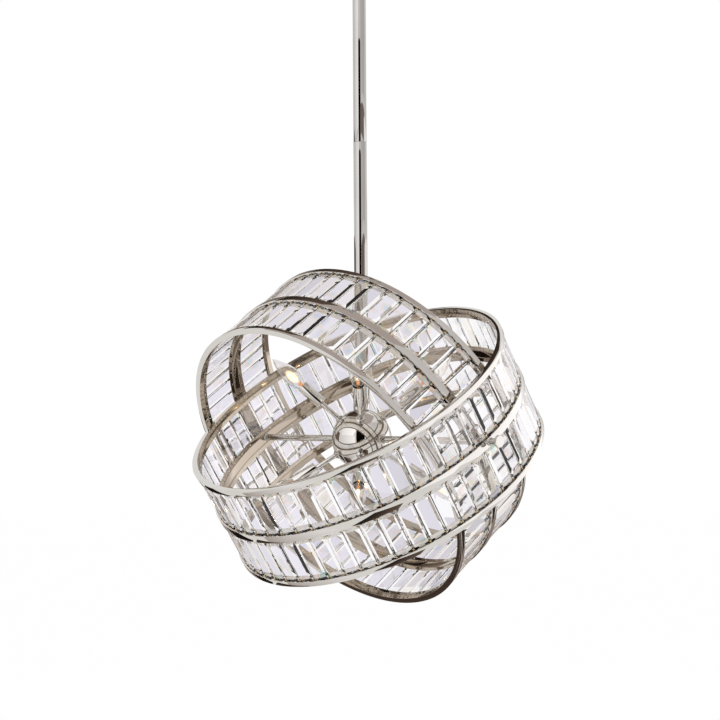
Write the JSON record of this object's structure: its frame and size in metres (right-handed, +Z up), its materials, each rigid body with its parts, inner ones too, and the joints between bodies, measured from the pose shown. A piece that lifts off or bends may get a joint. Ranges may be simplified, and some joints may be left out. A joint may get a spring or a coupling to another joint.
{
  "type": "orb chandelier",
  "caption": "Ceiling chandelier of linked crystal band rings on a bar through a polished sphere hub with candle arms, hung on a tube stem.",
  "frame": {"origin": "centre of the mounting bar's face on the ceiling", "axes": "+Z up out of the ceiling, +X along the bar through the hub"},
  "size_m": [0.7132, 0.6448, 1.2713],
  "materials": {
    "nickel": "polished nickel",
    "crystal": "clear cut crystal",
    "bulb_glass": "clear lamp glass",
    "zinc_steel": "zinc plated",
    "brass": "plain brass",
    "ground_green": "green anodised",
    "nylon": "natural nylon",
    "socket_black": "black phenolic"
  },
  "bodies": {
    "ceiling": {"mounting_bar": "zinc_steel", "ground_screw": "ground_green", "canopy_nipple": "brass", "nipple_locknut": "zinc_steel", "canopy_dome": "nickel", "canopy_ring_nut": "nickel", "swivel_retainer_nut": "brass"},
    "swivel": {"swivel_yoke": "nickel", "knuckle_pin": "zinc_steel"},
    "stem": {"knuckle_lug": "nickel", "stem_upper": "nickel", "stem_coupler": "nickel", "stem_lower": "nickel", "stem_collar": "nickel", "stem_neck": "nickel", "hub_core": "nickel", "hub_upper_shell": "nickel", "hub_lower_shell": "nickel", "hub_finial": "nickel", "cross_rod": "zinc_steel", "bar_tube_left": "nickel", "bar_tube_right": "nickel", "bar_collars": "nickel", "hoop_spacers": "nickel", "pivot_washers": "nylon", "cap_knob_left": "nickel", "cap_knob_right": "nickel", "arm_tubes": "nickel", "arm_collars": "nickel", "lamp_sockets": "socket_black", "bulb_caps": "brass", "candle_sleeve_1": "nickel", "candle_sleeve_2": "nickel", "candle_sleeve_3": "nickel", "candle_sleeve_4": "nickel", "candle_sleeve_5": "nickel", "candle_sleeve_6": "nickel", "candle_sleeve_7": "nickel", "candle_sleeve_8": "nickel", "bulb_1": "bulb_glass", "bulb_2": "bulb_glass", "bulb_3": "bulb_glass", "bulb_4": "bulb_glass", "bulb_5": "bulb_glass", "bulb_6": "bulb_glass", "bulb_7": "bulb_glass", "bulb_8": "bulb_glass"},
    "ring_a": {"ring_a_middle_hoop": "nickel", "ring_a_upper_edge_hoop": "nickel", "ring_a_lower_edge_hoop": "nickel", "ring_a_upper_crystals": "crystal", "ring_a_lower_crystals": "crystal", "ring_a_struts": "nickel"},
    "ring_b": {"ring_b_middle_hoop": "nickel", "ring_b_upper_edge_hoop": "nickel", "ring_b_lower_edge_hoop": "nickel", "ring_b_upper_crystals": "crystal", "ring_b_lower_crystals": "crystal", "ring_b_struts": "nickel"}
  },
  "joints": [
    {"name": "canopy_swivel", "type": "hinge", "parent": "ceiling", "child": "swivel", "pos_m": [0, 0, -0.0394], "axis": [0, 0, 1], "range_deg": [-170, 170]},
    {"name": "stem_tilt", "type": "hinge", "parent": "swivel", "child": "stem", "pos_m": [0, 0, -0.0604], "axis": [0, 1, 0], "range_deg": [-30, 30]},
    {"name": "ring_a_swing", "type": "hinge", "parent": "stem", "child": "ring_a", "pos_m": [0, 0, -0.9514], "axis": [1, 0, 0], "range_deg": [-20, 20]},
    {"name": "ring_b_swing", "type": "hinge", "parent": "stem", "child": "ring_b", "pos_m": [0, 0, -0.9514], "axis": [1, 0, 0], "range_deg": [-12, 20]}
  ]
}
